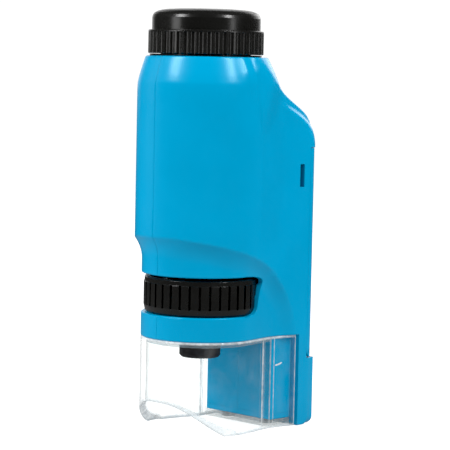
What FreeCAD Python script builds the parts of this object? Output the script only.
import FreeCAD, Part
import math
import os
from FreeCAD import Vector

# Pocket zoom microscope with a clear slide skirt and a battery spine.
# +Z is up; the front (arch side) faces -Y and the battery spine +Y.  The origin
# is the middle of the footprint, on the table.  Apart from AXIS_Y, every Y value
# is measured from the optical axis; the helpers add AXIS_Y.  Lengths are in mm.
# Names: _R radius, _T thickness, _X _Y _Z place, 0 and 1 the low and high end.

os.makedirs("parts", exist_ok=True)

AXIS_Y = -7.5
TOTAL_H = 139.8

# housing
BARREL_R = 22.5
BARREL_Z0 = 64.8              # underside of the full-size barrel
NECK_R, NECK_Z = 19.9, 124.2  # top of the neck cone
CONE_Z = 115.3                # foot of the neck cone
COLLAR_R = 20.0               # collars above and below the focus ring
UPPER_COLLAR_Z = 52.1         # underside of the upper collar
FLARE_Z = 58.0                # start of the flare into the barrel
LOWER_COLLAR_Z = 39.1         # top of the lower collar
BODY_Z0 = 31.1                # lower edge of the housing above the skirt
SPINE_W = 18.2                # half width
SPINE_Y = 37.5                # back face
SPINE_CORNER = 4.5
FOOT_FILLET = 2.4
WALL = 1.9
FLARE_DROP = 0.27             # fall of the flare per mm towards the spine
FLARE_PIVOT_Y = -20.4         # where the sheared flare keeps its height
TANGENT = math.radians(15.0)  # where the spine flanks leave the barrel
LEDGE = 4.6                   # half size of the slanted ledge at the recess edge

# clear skirt
SKIRT_T = 2.0
STEP_Y0 = 18.5                # front of the spine step inside the skirt
STEP_W = 15.4                 # half width of the spine step
EAR_Y = 28.0                  # rear end of the skirt ears
SHELF_Z = 2.5                 # shelf of the skirt under the step
ARCH_H, ARCH_W = 10.3, 19.0   # height and half width of the front arch
SKIRT_GAP = 0.05              # gap between skirt and housing
STEP_GAP = 0.1

# motions
ZOOM_TRAVEL, ZOOM_ANGLE = 8.0, 150.0  # draw tube down over the cap turn
FOCUS_LEAD = 12.0                     # objective travel per turn of the ring
ZOOM_PIN_Z = 113.0
FOCUS_PIN_Z = 43.0

# battery door and its hinge
DOOR_Z0, DOOR_Z1 = 22.6, 94.3
DOOR_Y = 32.85                # front edge of the door flanks
DOOR_GAP = 0.15
DOOR_SINK = 0.25              # door skin sits this far below the spine skin
DOOR_T = 1.8
HINGE_Y, HINGE_Z = 35.35, 24.65
HINGE_XS = (-10.0, 10.0)
KNUCKLE_R = 1.9
DOOR_SCREW_Z = 91.0
DOOR_SCREW_HOLE_R = 1.45

# screws and the lamp
SHELL_SCREWS = [(30.0, 99.0), (32.0, 12.0), (17.4, 58.4), (18.4, 106.0)]  # (y, z)
BASE_SCREW_XS, BASE_SCREW_Y = (-9.0, 9.0), 23.2
LED_X, LED_Y = 5.0, 14.5

# Shoulder over the spine, as (z, value): back face y, corner radius, half width.
SHOULDER_BACK = [
    (95.0, 37.5), (97.9, 37.15), (100.6, 36.2), (103.3, 34.9), (106.0, 32.5),
    (108.8, 29.5), (111.5, 26.8), (114.2, 23.6), (117.0, 21.0), (120.0, 17.5)]
SHOULDER_CORNER = [
    (95.0, 4.5), (100.6, 5.6), (103.3, 6.8), (107.4, 9.5), (111.5, 13.0),
    (115.5, 15.5), (120.0, 14.5)]
SHOULDER_WIDTH = [
    (95.0, 18.2), (103.0, 18.4), (107.4, 18.8), (111.5, 19.4), (115.5, 19.6),
    (120.0, 17.0)]
SHOULDER_ZS = (91.0, 93.0, 95.0, 97.9, 100.6, 103.3, 106.0, 108.8, 111.5, 114.2,
               117.0, 120.0)
# Recess edge (y, z): below and in front of it the housing steps in.
RECESS_EDGE = [
    (-24.0, 64.9), (-20.4, 64.8), (-10.6, 62.6), (-3.1, 60.6), (8.4, 56.6),
    (17.0, 50.2), (22.5, 43.5), (26.0, 36.0), (27.6, 29.0), (28.0, 20.0)]
# Side of the lower plan (x, y), from the waist to the spine.
LOW_SIDE = [(19.0, 7.0), (17.75, 12.5), (17.1, 17.3), (17.2, 21.5),
            (17.75, 25.5), (18.2, 29.0)]


# ------------------------------------------------------------------- helpers
def point(x, y, z):
    return Vector(x, y + AXIS_Y, z)


def cyl(r, z0, z1, x=0.0, y=0.0):
    return Part.makeCylinder(r, z1 - z0, point(x, y, z0))


def tube(r_out, r_in, z0, z1):
    return cyl(r_out, z0, z1).cut(cyl(r_in, z0 - 1, z1 + 1))


def box(x0, x1, y0, y1, z0, z1):
    return Part.makeBox(x1 - x0, y1 - y0, z1 - z0, point(x0, y0, z0))


def rod_x(r, x0, x1, y, z):
    return Part.makeCylinder(r, x1 - x0, point(x0, y, z), Vector(1, 0, 0))


def rod_y(r, y0, y1, x, z):
    return Part.makeCylinder(r, y1 - y0, point(x, y0, z), Vector(0, 1, 0))


def polygon(points):
    return Part.makePolygon(points + [points[0]])


def revolve(profile):
    """Solid of revolution about the optical axis from (radius, z) points."""
    face = Part.Face(polygon([point(r, 0, z) for r, z in profile]))
    return face.revolve(point(0, 0, 0), Vector(0, 0, 1), 360)


def fuse(shapes):
    return shapes[0].multiFuse(shapes[1:]).removeSplitter()


def prism(wire, z0, z1):
    face = Part.Face(wire)
    face.translate(Vector(0, 0, z0))
    return face.extrude(Vector(0, 0, z1 - z0))


def interpolate(table, x):
    """Linear interpolation in a table of pairs, held constant past its ends."""
    if x <= table[0][0]:
        return table[0][1]
    for (xa, ya), (xb, yb) in zip(table, table[1:]):
        if x <= xb:
            return ya + (yb - ya) * (x - xa) / (xb - xa)
    return table[-1][1]


def spline_edge(points):
    curve = Part.BSplineCurve()
    curve.interpolate(points)
    return curve.toShape()


def sorted_wire(edges):
    return Part.Wire(Part.__sortEdges__(edges))


def biggest(shape):
    return max(shape.Solids, key=lambda solid: solid.Volume)


def cut_helix_pair(body, r_in, r_out, half, pitch, z_zero, angle0, angle1):
    """Cut two opposite helical slots; the first is at z_zero at angle 0."""
    turns = (angle1 - angle0) / 360.0
    for turn in (0, 180):
        helix = Part.makeHelix(pitch, pitch * turns, (r_in + r_out) / 2)
        section = polygon([Vector(r_in, 0, -half), Vector(r_out, 0, -half),
                           Vector(r_out, 0, half), Vector(r_in, 0, half)])
        slot = Part.Wire(helix.Edges).makePipeShell([section], True, True)
        slot.rotate(Vector(0, 0, 0), Vector(0, 0, 1), angle0)
        slot.translate(Vector(0, 0, pitch * angle0 / 360.0))
        slot.translate(point(0, 0, z_zero))
        slot.rotate(point(0, 0, 0), Vector(0, 0, 1), turn)
        body = body.cut(slot)
    return body


def save(name, shape):
    shape.exportStep("parts/%s.step" % name)


# -------------------------------------------------------------- housing skin
def round_rect(half_w, y0, y1, corner, z):
    """Plan outline with its two rear corners rounded."""
    mid = corner * (1 - math.sqrt(0.5))
    left_front = point(-half_w, y0, z)
    left_side = point(-half_w, y1 - corner, z)
    left_back = point(-half_w + corner, y1, z)
    right_back = point(half_w - corner, y1, z)
    right_side = point(half_w, y1 - corner, z)
    right_front = point(half_w, y0, z)
    left_mid = point(-half_w + mid, y1 - mid, z)
    right_mid = point(half_w - mid, y1 - mid, z)
    return Part.Wire([Part.makeLine(left_front, left_side),
                      Part.Arc(left_side, left_mid, left_back).toShape(),
                      Part.makeLine(left_back, right_back),
                      Part.Arc(right_back, right_mid, right_side).toShape(),
                      Part.makeLine(right_side, right_front),
                      Part.makeLine(right_front, left_front)])


def spine_prism(inset, y0, z0, z1):
    outline = round_rect(SPINE_W - inset, y0, SPINE_Y - inset, SPINE_CORNER - inset, 0)
    return prism(outline, z0, z1)


def flank_outline(inset, z, shrink=0.0):
    """Flanks tangent to the barrel, running back to the spine width."""
    r = BARREL_R - inset - shrink
    half_w = SPINE_W - inset
    tan_x, tan_y = r * math.cos(TANGENT), r * math.sin(TANGENT)
    run = (tan_x - half_w) / math.sin(TANGENT)
    crease_y = tan_y + run * math.cos(TANGENT)
    outline = [(-tan_x, tan_y), (-half_w, crease_y), (half_w, crease_y),
               (tan_x, tan_y), (tan_x * 0.8, tan_y - 4), (-tan_x * 0.8, tan_y - 4)]
    return polygon([point(x, y, z) for x, y in outline])


def low_plan(inset, z0, z1):
    """Lower plan: collar circle, waist and flare back to the spine."""
    r = COLLAR_R - inset
    start = math.radians(5.0)
    start_x, start_y = r * math.cos(start), r * math.sin(start)
    side = [point(start_x, start_y, 0)] + [point(x - inset, y, 0) for x, y in LOW_SIDE]
    right = spline_edge(side)
    left = right.mirror(Vector(0, 0, 0), Vector(1, 0, 0))
    front = Part.Arc(point(-start_x, start_y, 0), point(0, -r, 0),
                     point(start_x, start_y, 0)).toShape()
    end_x, end_y = LOW_SIDE[-1]
    back = Part.makeLine(point(end_x - inset, end_y, 0), point(inset - end_x, end_y, 0))
    return prism(sorted_wire([front, right, back, left]), z0, z1)


def barrel_solid(inset):
    r = BARREL_R - inset
    top = NECK_Z - inset
    top_r = interpolate([(CONE_Z, BARREL_R), (NECK_Z, NECK_R)], top) - inset
    return revolve([(0, 78), (r, 78), (r, 113.8), (r - 0.2, 115.6), (top_r, top), (0, top)])


def flare_solid(inset):
    """Lower end of the barrel; on the outer skin it drops towards the spine."""
    r = COLLAR_R - inset
    flare = revolve([(0, 40), (r, 40), (r, FLARE_Z + inset * 0.5),
                     (r + 0.2, 59.6 + inset * 0.55), (r + 0.65, 61.2 + inset * 0.65),
                     (r + 1.35, 62.9 + inset * 0.8),
                     (BARREL_R - inset, BARREL_Z0 + inset), (BARREL_R - inset, 95), (0, 95)])
    if inset == 0:
        shear = FreeCAD.Matrix()
        shear.A32 = -FLARE_DROP
        shear.A34 = FLARE_DROP * (AXIS_Y + FLARE_PIVOT_Y)
        flare = flare.transformGeometry(shear)
    return flare.common(box(-40, 40, -60, 60, UPPER_COLLAR_Z, 78))


def spine_solid(inset):
    spine = spine_prism(inset, 4, inset, 92.0)
    spine = spine.cut(box(-40, 40, -60, EAR_Y + inset, -5, BODY_Z0 + inset))
    if inset == 0:
        # round the lower rear edge of the foot
        rear_y = EAR_Y + 5 + AXIS_Y
        edges = [edge for edge in spine.Edges
                 if abs(edge.CenterOfMass.z) < 0.01 and edge.CenterOfMass.y > rear_y]
        spine = spine.makeFillet(FOOT_FILLET, edges)
    return spine


def shoulder_solid(inset):
    """Rounded sections closing in from the spine on the neck."""
    sections = []
    for z in SHOULDER_ZS:
        back_inset = inset * (1.0 if z <= 95.0 else 1.1)
        sections.append(round_rect(interpolate(SHOULDER_WIDTH, z) - inset, 4,
                                   interpolate(SHOULDER_BACK, z) - back_inset,
                                   interpolate(SHOULDER_CORNER, z) - inset, z))
    return Part.makeLoft(sections, True, False)


def cut_recess(body, inset):
    """Step the body in below the recess edge, on a slanted ledge on each side."""
    shift = inset - LEDGE
    edge = [(y + shift, z + shift) for y, z in RECESS_EDGE]
    outline = edge + [(edge[-1][0], -25), (-80, -25), (-80, edge[0][1])]
    for side in (1, -1):
        face = Part.Face(polygon([point(side * (COLLAR_R - LEDGE), y, z) for y, z in outline]))
        body = body.cut(face.extrude(Vector(side * 2 * LEDGE, 2 * LEDGE, 2 * LEDGE)))
    return body


def skin(inset):
    """Solid bounded by the housing skin moved inwards by inset."""
    barrel = barrel_solid(inset)
    flare = flare_solid(inset)
    flank = prism(flank_outline(inset, 0), BODY_Z0 + inset, 98.0)
    flank_top = Part.makeLoft([flank_outline(inset, 98.0), flank_outline(inset, 113.0, 1.9)],
                              True, True)
    shoulder = shoulder_solid(inset)
    wide = cut_recess(fuse([spine_solid(inset), flank]), inset)
    low = low_plan(inset, BODY_Z0 + inset, 60.0)
    # the step that stands in the skirt
    step = box(-STEP_W + inset, STEP_W - inset, STEP_Y0 + inset, EAR_Y + 3.5,
               SHELF_Z + SKIRT_GAP + inset, BODY_Z0 + 3.3)
    return fuse([barrel, flare, wide, flank_top, shoulder, low, step])


# ------------------------------------------------------------- housing shells
lug_blocks = [box(x - 1, x + 1, HINGE_Y - 1.6, HINGE_Y + 1.5, 20.5, HINGE_Z)
              for x in HINGE_XS]
lug_rounds = [rod_x(1.6, x - 1, x + 1, HINGE_Y, HINGE_Z) for x in HINGE_XS]


def housing_fittings():
    """Solids left standing inside the housing."""
    collar_top = UPPER_COLLAR_Z + WALL
    plate_z = LOWER_COLLAR_Z - WALL
    fittings = [
        tube(21.0, 9.3, UPPER_COLLAR_Z, collar_top),      # floor of the upper collar
        tube(21.0, 11.5, plate_z, LOWER_COLLAR_Z),        # bearing plate of the ring
        tube(21.0, 19.8, plate_z, collar_top),            # wall behind the focus ring
        box(-18, 18, 20.4, 36.5, DOOR_Z1 + 0.1, DOOR_Z1 + 2.4),  # battery bay roof
        box(-2.7, 2.7, 29.0, 34.6, 89.0, DOOR_Z1 + 1.0),  # boss for the door screw
        box(-18, 18, STEP_Y0 + 1, 36.5, 19.6, 21.3)]      # floor under the battery bay
    for block, cap in zip(lug_blocks, lug_rounds):
        fittings += [block, cap]
    for y, z in SHELL_SCREWS:
        fittings.append(rod_x(2.9, -20, 20, y, z))
    for x in BASE_SCREW_XS:
        fittings.append(cyl(2.7, SHELF_Z + SKIRT_GAP, 11.0, x, BASE_SCREW_Y))
    # shelf above the upper flange of the optical tube
    fittings.append(tube(22.0, 14.2, 92.1, 93.6).common(box(-30, 30, -30, 16, 90, 95)))
    return fittings


def housing_openings():
    slot_y, slot_z0, slot_z1 = 28.8, 82.1, 87.7
    door_block = box(-30, 30, DOOR_Y, 45, DOOR_Z0, DOOR_Z1)
    openings = [
        # window around the focus ring
        fuse([cyl(19.8, LOWER_COLLAR_Z, UPPER_COLLAR_Z),
              box(-40, 40, -40, 11.5, LOWER_COLLAR_Z, UPPER_COLLAR_Z)]),
        cyl(17.45, NECK_Z - 5, NECK_Z + 5),               # neck opening
        cyl(12.85, 30, 34),                               # objective guide
        cyl(1.95, 30, 36, LED_X, LED_Y),                  # lamp
        door_block.cut(fuse(lug_blocks + lug_rounds)),    # door, around the hinge lugs
        rod_x(0.82, -12.6, 12.6, HINGE_Y, HINGE_Z),       # hinge pin
        rod_y(DOOR_SCREW_HOLE_R, 28.0, 36, 0, DOOR_SCREW_Z),
        # round-ended slot across the spine
        box(-30, 30, slot_y - 1, slot_y + 1, slot_z0, slot_z1),
        rod_x(1.0, -30, 30, slot_y, slot_z0),
        rod_x(1.0, -30, 30, slot_y, slot_z1),
        box(-19, -15, 22.6, 25.6, 69.5, 77.5)]            # switch slot
    for y, z in SHELL_SCREWS:
        openings += [rod_x(2.55, -25, -10, y, z),         # head
                     rod_x(1.4, -11, 0, y, z),            # clearance
                     rod_x(1.27, -0.1, 11, y, z)]         # pilot
    for x in BASE_SCREW_XS:
        openings.append(cyl(1.12, 0, 9.5, x, BASE_SCREW_Y))
    return openings


outer_skin = skin(0.0)
cavity = skin(WALL)
for fitting in housing_fittings():
    cavity = cavity.cut(fitting)
shell = outer_skin.cut(cavity)
openings = housing_openings()
shell = shell.cut(openings[0].multiFuse(openings[1:]))
save("right_body_shell", biggest(shell.common(box(0, 40, -60, 60, -5, 150))))
save("left_body_shell", biggest(shell.common(box(-40, 0, -60, 60, -5, 150))))


# --------------------------------------------------------------- clear skirt
def arch_cutter():
    steps = 40
    curve = []
    for i in range(steps + 1):
        x = -ARCH_W + 2 * ARCH_W * i / steps
        curve.append(Vector(x, -40, ARCH_H * (1 - (abs(x) / ARCH_W) ** 2.6)))
    left = Vector(-ARCH_W, -40, -0.5)
    right = Vector(ARCH_W, -40, -0.5)
    wire = sorted_wire([Part.makeLine(curve[-1], right), Part.makeLine(right, left),
                        Part.makeLine(left, curve[0]), spline_edge(curve)])
    return Part.Face(wire).extrude(Vector(0, 40 + AXIS_Y, 0))


def clear_base():
    top = BODY_Z0 - SKIRT_GAP
    front_y = STEP_Y0 - STEP_GAP
    side_x = STEP_W + STEP_GAP
    outer = low_plan(0, 0, top).common(box(-40, 40, -60, EAR_Y - SKIRT_GAP, -1, 40))
    inner = low_plan(SKIRT_T, -1, top - SKIRT_T).common(box(-40, 40, -60, front_y, -2, 40))
    skirt = outer.cut(inner)
    skirt = skirt.cut(box(-side_x, side_x, front_y, 40, SHELF_Z, 40))
    skirt = skirt.cut(arch_cutter())
    # objective and lamp holes
    skirt = skirt.cut(fuse([cyl(8.05, 20, 40), cyl(1.6, 20, 40, LED_X, LED_Y)]))
    for x in BASE_SCREW_XS:
        skirt = skirt.cut(cyl(2.35, -1, 1.3, x, BASE_SCREW_Y))
        skirt = skirt.cut(cyl(1.25, 0, 5, x, BASE_SCREW_Y))
    return biggest(skirt)


save("clear_base", clear_base())


# ------------------------------------------------------- eye cap and zoom cam
def zoom_cap():
    rim_r, dome_r = 19.15, 18.0
    z0, rim_z = 124.95, 132.75
    bevel = 0.25
    flutes, flute_r = 48, 1.15
    cap = revolve([
        (15.02, z0), (rim_r - bevel, z0), (rim_r, z0 + bevel), (rim_r, rim_z - bevel),
        (rim_r - bevel, rim_z), (dome_r, rim_z + 0.05), (dome_r, 136.8), (17.75, 137.7),
        (17.2, 138.4), (16.2, 138.95), (15.0, 139.3), (13.0, 139.6), (9.6, TOTAL_H),
        (8.6, 139.7), (6.4, 138.0), (6.2, 137.4), (13.6, 137.4), (13.6, 134.55),
        (15.02, 134.55)])
    cutters = []
    for i in range(flutes):
        angle = 2 * math.pi * (i + 0.5) / flutes
        centre_r = rim_r + 0.72
        cutters.append(cyl(flute_r, z0 - 1, rim_z - 0.7,
                           centre_r * math.cos(angle), centre_r * math.sin(angle)))
    return cap.cut(Part.makeCompound(cutters))


def zoom_cam_sleeve():
    slack = 8   # extra slot angle at each end
    sleeve = revolve([(13.1, 100.0), (15.0, 100.0), (15.0, 119.0), (16.4, 119.3),
                      (16.4, 120.4), (15.0, 120.55), (15.0, 134.5), (13.1, 134.5)])
    return cut_helix_pair(sleeve, 12.5, 15.6, 1.17, ZOOM_TRAVEL / ZOOM_ANGLE * 360,
                          ZOOM_PIN_Z, -ZOOM_ANGLE - slack, slack)


save("zoom_cap", zoom_cap())
save("zoom_cam_sleeve", zoom_cam_sleeve())
save("neck_collar", revolve([(15.1, 120.75), (17.4, 120.75), (17.4, NECK_Z),
                             (18.6, NECK_Z), (18.6, 124.8), (15.1, 124.8)]))


# ----------------------------------------------------------- eyepiece optics
def lens(r, z0, z1, bulge):
    """Biconvex lens with parabolic faces."""
    steps = 8
    drop = min(bulge, (z1 - z0) / 2 - 0.5)
    radii = [r * i / steps for i in range(steps + 1)]
    lower = [(x, z0 + drop * (x / r) ** 2) for x in radii]
    upper = [(x, z1 - drop * (x / r) ** 2) for x in reversed(radii)]
    return revolve(lower + upper)


SEAT_Z = 93.4           # lens seat in the draw tube
FIELD_LENS_Z1 = 97.0
SPACER_Z1 = 124.9
STACK_GAP = 0.05
LENS_R = 10.5

draw_tube = revolve([(9.4, 92.0), (12.0, 92.0), (12.0, 132.0), (10.6, 132.0),
                     (10.6, SEAT_Z), (9.4, SEAT_Z)])
save("draw_tube", fuse([draw_tube, rod_x(1.0, 11.2, 14.6, 0, ZOOM_PIN_Z),
                        rod_x(1.0, -14.6, -11.2, 0, ZOOM_PIN_Z)]))
save("field_lens", lens(LENS_R, SEAT_Z + STACK_GAP, FIELD_LENS_Z1, 1.1))
save("lens_spacer", tube(10.52, 9.7, FIELD_LENS_Z1 + STACK_GAP, SPACER_Z1))
save("eye_lens", lens(LENS_R, SPACER_Z1 + STACK_GAP, 128.9, 1.2))
save("eyepiece_retainer", revolve([(7.6, 129.0), (10.54, 129.0), (10.54, 131.6),
                                   (8.6, 131.6)]))


# -------------------------------------------------------------- optical tube
def optical_tube():
    body = tube(13.0, 12.08, 60.0, 121.0)
    for z in (66.9, 90.1):   # flanges, cut off flat towards the spine
        body = body.fuse(tube(20.5, 12.5, z, z + 1.9).common(box(-30, 30, -30, 15.2, 60, 100)))
    body = body.removeSplitter()
    # straight slots for the draw tube pins
    body = body.cut(box(-14, 14, -1.12, 1.12, ZOOM_PIN_Z - ZOOM_TRAVEL - 1.5, 122))
    return biggest(body)


save("optical_tube", optical_tube())


# --------------------------------------------------------------- focus drive
def focus_guide_sleeve():
    guide = revolve([(7.68, 31.15), (12.8, 31.15), (12.8, 32.9), (9.25, 32.9),
                     (9.25, 58.0), (7.68, 58.0)])
    return guide.cut(box(-10, 10, -1.0, 1.0, FOCUS_PIN_Z - 7.4, FOCUS_PIN_Z + 4.4))


def focus_ring():
    r, z0, z1 = 19.2, 39.4, 51.2
    grip_z0, grip_z1 = 41.6, 49.3
    grooves = 36
    bore_r, hub_r, rim_in_r = 9.4, 11.4, 17.2
    ring = revolve([
        (bore_r, 34.3), (hub_r, 34.3), (hub_r, 47.7), (rim_in_r, 47.7), (rim_in_r, z0),
        (18.4, z0), (18.75, z0 + 0.25), (r, grip_z0), (r, grip_z1), (18.95, grip_z1 + 0.15),
        (18.95, z1 - 0.4), (18.6, z1), (rim_in_r, z1), (rim_in_r, 49.6), (hub_r, 49.6),
        (hub_r, z1), (bore_r, z1)])
    cutters = []
    for i in range(grooves):
        cutter = Part.makeBox(1.6, 0.8, grip_z1 - grip_z0 + 0.2,
                              Vector(r - 0.75, -0.4, grip_z0 - 0.1))
        cutter.rotate(Vector(0, 0, 0), Vector(0, 0, 1), 360.0 / grooves * (i + 0.5))
        cutter.translate(point(0, 0, 0))
        cutters.append(cutter)
    ring = ring.cut(Part.makeCompound(cutters))
    ring = cut_helix_pair(ring, 9.0, 11.8, 1.05, FOCUS_LEAD, FOCUS_PIN_Z, -188, 98)
    return biggest(ring)


save("focus_guide_sleeve", focus_guide_sleeve())
save("focus_ring", focus_ring())
save("objective_barrel", fuse([tube(7.6, 6.2, 31.2, 59.0),
                               rod_x(0.9, 6.9, 11.2, 0, FOCUS_PIN_Z),
                               rod_x(0.9, -11.2, -6.9, 0, FOCUS_PIN_Z)]))
save("objective_tip", revolve([
    (3.6, 24.0), (6.2, 24.0), (6.9, 24.7), (6.9, 31.15), (6.15, 31.15), (6.15, 34.0),
    (5.0, 34.0), (5.0, 26.2), (3.6, 25.4)]))
save("objective_lens", lens(4.95, 26.6, 29.4, 0.8))
save("objective_back_lens", lens(6.15, 34.1, 37.0, 0.9))

# --------------------------------------------------------------- battery bay
BATTERY_R, BATTERY_L = 5.2, 44.5
BAY_X, BAY_Y, BAY_R = 5.7, 28.6, 5.45      # the two bays are at x = -BAY_X, BAY_X
TRAY_Z0, TRAY_Z1 = 27.0, 79.0
BAY_Z0, BAY_Z1 = TRAY_Z0 + 1.3, TRAY_Z1 - 1.3
BATTERY_1_Z = BAY_Z0 + 0.35 + 4.2          # resting on the spring
BATTERY_2_Z = BAY_Z0 + 0.4                 # positive end down
CONTACT_T, CONTACT_GAP = 0.3, 0.02
SPRING_R, SPRING_WIRE_R, SPRING_TURNS = 3.1, 0.32, 4


def battery_tray():
    tray = box(-12.4, 12.4, 22.7, 34.2, TRAY_Z0, TRAY_Z1)
    bays = [cyl(BAY_R, BAY_Z0, BAY_Z1, x, BAY_Y) for x in (-BAY_X, BAY_X)]
    bays += [box(x - BAY_R, x + BAY_R, BAY_Y, 36, BAY_Z0, BAY_Z1) for x in (-BAY_X, BAY_X)]
    tray = tray.cut(fuse(bays))
    # side rails bear on the inner walls of the shells
    rails = [box(x, x + 4.05, 29.8, 31.2, TRAY_Z0 + 6.3, TRAY_Z1 - 1) for x in (-16.25, 12.2)]
    tray = biggest(fuse([tray] + rails))
    # the bridge contact passes under the middle wall
    return biggest(tray.cut(box(-BAY_X - 4.4, BAY_X + 4.4, BAY_Y - 3.7, BAY_Y + 3.7,
                                BAY_Z0 - 0.05, BAY_Z0 + 0.4)))


def battery(x, z, positive_up):
    r, shoulder = BATTERY_R, BATTERY_L - 1.1
    body = revolve([(0, 0), (r - 0.35, 0), (r, 0.35), (r, shoulder - 0.35),
                    (r - 0.35, shoulder), (1.9, shoulder), (1.75, BATTERY_L), (0, BATTERY_L)])
    body.translate(Vector(0, -AXIS_Y, 0))
    if not positive_up:
        body.rotate(Vector(0, 0, BATTERY_L / 2), Vector(1, 0, 0), 180)
    body.translate(point(x, BAY_Y, z))
    return body


def spring(x, z0, height):
    pitch = (height - 2 * SPRING_WIRE_R) / SPRING_TURNS
    helix = Part.makeHelix(pitch, pitch * SPRING_TURNS, SPRING_R)
    section = Part.Wire(Part.makeCircle(SPRING_WIRE_R, Vector(SPRING_R, 0, 0),
                                        Vector(0, 1, 0)))
    coil = Part.Wire(helix.Edges).makePipeShell([section], True, True)
    coil.translate(point(x, BAY_Y, z0 + SPRING_WIRE_R))
    return coil


def contact_plate(x0, x1, z0):
    return box(x0, x1, BAY_Y - 3.6, BAY_Y + 3.6, z0, z0 + CONTACT_T)


save("battery_tray", battery_tray())
save("battery_1", battery(-BAY_X, BATTERY_1_Z, True))
save("battery_2", battery(BAY_X, BATTERY_2_Z, False))
bridge = contact_plate(-BAY_X - 4.3, BAY_X + 4.3, BAY_Z0 + CONTACT_GAP)
save("contact_bridge", bridge.fuse(spring(-BAY_X, BAY_Z0 + 0.2, 4.3)))
contact_z1 = BAY_Z1 - CONTACT_GAP
contact_z0 = contact_z1 - CONTACT_T
tab = rod_y(0.9, BAY_Y - 3.6, BAY_Y - 3.0, -BAY_X, BAY_Z1 - 0.6)
save("contact_positive", fuse([contact_plate(-BAY_X - 4.2, -BAY_X + 4.2, contact_z0),
                               tab.common(box(-20, 20, 0, 50, BAY_Z1 - 0.9, contact_z1))]))
spring_z0 = BATTERY_2_Z + BATTERY_L + 0.02
save("contact_negative", contact_plate(BAY_X - 4.2, BAY_X + 4.2, contact_z0).fuse(
    spring(BAY_X, spring_z0, BAY_Z1 - 0.2 - spring_z0)))


# -------------------------------------------------------------- battery door
def battery_door():
    door = spine_prism(DOOR_SINK, 20, DOOR_Z0 + DOOR_GAP, DOOR_Z1 - DOOR_GAP)
    door = door.cut(spine_prism(DOOR_SINK + DOOR_T, 20, DOOR_Z0 - 1, DOOR_Z1 + 1))
    door = door.common(box(-30, 30, DOOR_Y + DOOR_GAP, 45, 0, 120))
    # round the lower end about the hinge
    door = door.cut(box(-30, 30, 20, 45, 0, HINGE_Z).cut(
        rod_x(KNUCKLE_R, -30, 30, HINGE_Y, HINGE_Z)))
    knuckle = rod_x(KNUCKLE_R, -13.2, 13.2, HINGE_Y, HINGE_Z)
    ribs = fuse([box(x - 0.6, x + 0.6, 34.4, 35.9, 40, 86) for x in (-8.5, 0.0, 8.5)])
    door = fuse([door, knuckle, ribs])
    for x in HINGE_XS:   # room for the housing lugs
        x0, x1 = x - 1.15, x + 1.15
        door = door.cut(rod_x(KNUCKLE_R + 0.3, x0, x1, HINGE_Y, HINGE_Z))
        door = door.cut(box(x0, x1, HINGE_Y - 2.4, HINGE_Y + 3, 20, HINGE_Z))
    door = door.cut(rod_x(0.88, -20, 20, HINGE_Y, HINGE_Z))
    # screw seat, then the finger notch at the top edge
    door = fuse([door, rod_y(3.0, 34.75, 36.4, 0, DOOR_SCREW_Z)])
    door = door.cut(rod_y(DOOR_SCREW_HOLE_R, 30, 40, 0, DOOR_SCREW_Z))
    door = door.cut(rod_y(2.5, 36.1, 40, 0, DOOR_SCREW_Z))
    return biggest(door.cut(rod_y(6.0, 34.0, 40.0, 0, DOOR_Z1 + 5.3)))


def door_screw():
    z = DOOR_SCREW_Z
    screw = fuse([rod_y(1.1, 31.8, 36.15, 0, z), rod_y(2.2, 36.12, 37.1, 0, z)])
    screw = screw.cut(box(-1.6, 1.6, 36.7, 38, z - 0.25, z + 0.25))
    return screw.cut(box(-0.25, 0.25, 36.7, 38, z - 1.6, z + 1.6))


save("battery_door", battery_door())
save("door_screw", door_screw())
save("door_hinge_pin", rod_x(0.8, -12.5, 12.5, HINGE_Y, HINGE_Z))

# -------------------------------------------------------------- power switch
# Slide switch on the left (-X) flank; the knob travels along Z.
SWITCH_Y, KNOB_Z = 24.1, 73.5


def switch_body():
    body = box(-16.15, -12.6, SWITCH_Y - 2.4, SWITCH_Y + 1.9, 67.6, 79.2)
    return body.cut(box(-17, -14.0, SWITCH_Y - 1.0, SWITCH_Y + 1.0, 70.2, 76.8))


def switch_knob():
    face_x = -19.4
    knob = fuse([box(-18.6, -14.3, SWITCH_Y - 0.85, SWITCH_Y + 0.85, KNOB_Z - 3.0, KNOB_Z),
                 box(face_x, -18.35, SWITCH_Y - 1.9, SWITCH_Y + 1.9,
                     KNOB_Z - 4.6, KNOB_Z + 1.6)])
    for i in range(5):   # grip grooves
        knob = knob.cut(rod_y(0.3, SWITCH_Y - 3, SWITCH_Y + 3, face_x,
                              KNOB_Z - 3.6 + 1.05 * i))
    return knob


save("switch_body", switch_body())
save("switch_knob", switch_knob())

# --------------------------------------------------------------- electronics
LEG_XS = (LED_X - 0.8, LED_X + 0.8)


def led():
    dome_z = 28.6
    return fuse([cyl(1.5, dome_z, 31.3, LED_X, LED_Y), cyl(1.85, 31.2, 31.9, LED_X, LED_Y),
                 Part.makeSphere(1.5, point(LED_X, LED_Y, dome_z))]
                + [cyl(0.22, 31.8, 35.6, x, LED_Y) for x in LEG_XS])


def led_board():
    board = box(1.2, 9.2, 13.2, 17.6, 34.0, 35.2)
    for x in LEG_XS:
        board = board.cut(cyl(0.3, 30, 40, x, LED_Y))
    return board


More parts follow.
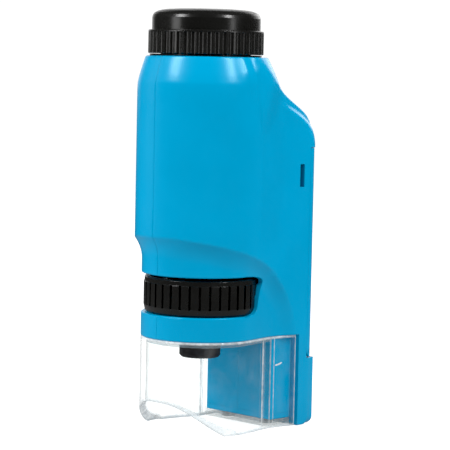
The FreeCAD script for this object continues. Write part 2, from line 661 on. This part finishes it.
def wire(path):
    r = 0.5
    edge = spline_edge([point(x, y, z) for x, y, z in path])
    start = edge.FirstParameter
    section = Part.Wire(Part.makeCircle(r, edge.valueAt(start), edge.tangentAt(start)))
    return Part.Wire([edge]).makePipeShell([section], True, False)


# Wire centre lines (x, y, z).
WIRES = {
    "wire_red": [
        (-12.5, 21.35, 69.8), (-11.2, 21.6, 66), (-10, 21.75, 60), (-9.0, 21.75, 50),
        (-8, 21.75, 41), (-5.5, 20.6, 36.3), (-1.5, 18.4, 34.9), (0.6, 16.8, 34.6)],
    "wire_black": [
        (8.8, 21.75, 77.6), (9.6, 21.75, 70), (9.8, 21.75, 60), (9.6, 21.75, 50),
        (9.4, 21.75, 41), (9.6, 20.2, 36.6), (9.9, 17.5, 34.9), (9.85, 15.6, 34.6)],
    "wire_battery": [
        (-11.7, 21.6, 77.4), (-10.6, 21.5, 78.8), (-9.4, 21.9, 80.2), (-8.0, 23.4, 80.3),
        (-6.0, 25.4, 80.1)],
}

save("led", led())
save("led_board", led_board())
save("led_resistor", fuse([rod_x(0.72, 3.4, 7.0, 16.6, 35.95),
                           rod_x(0.2, 2.4, 8.0, 16.6, 35.95)]))
for name, path in WIRES.items():
    save(name, wire(path))


# -------------------------------------------------- shell and base screws
def shell_screw(y, z):
    screw = fuse([rod_x(1.25, -10.02, 10.0, y, z), rod_x(2.35, -11.85, -10.02, y, z)])
    screw = screw.cut(box(-12.5, -10.9, y - 1.5, y + 1.5, z - 0.25, z + 0.25))
    return screw.cut(box(-12.5, -10.9, y - 0.25, y + 0.25, z - 1.5, z + 1.5))


def base_screw(x):
    y = BASE_SCREW_Y
    screw = fuse([cyl(1.1, 1.25, 9.0, x, y), cyl(2.1, 0.25, 1.25, x, y)])
    screw = screw.cut(box(x - 1.4, x + 1.4, y - 0.25, y + 0.25, 0, 0.75))
    return screw.cut(box(x - 0.25, x + 0.25, y - 1.4, y + 1.4, 0, 0.75))


save("shell_screws", Part.makeCompound([shell_screw(y, z) for y, z in SHELL_SCREWS]))
save("base_screws", Part.makeCompound([base_screw(x) for x in BASE_SCREW_XS]))
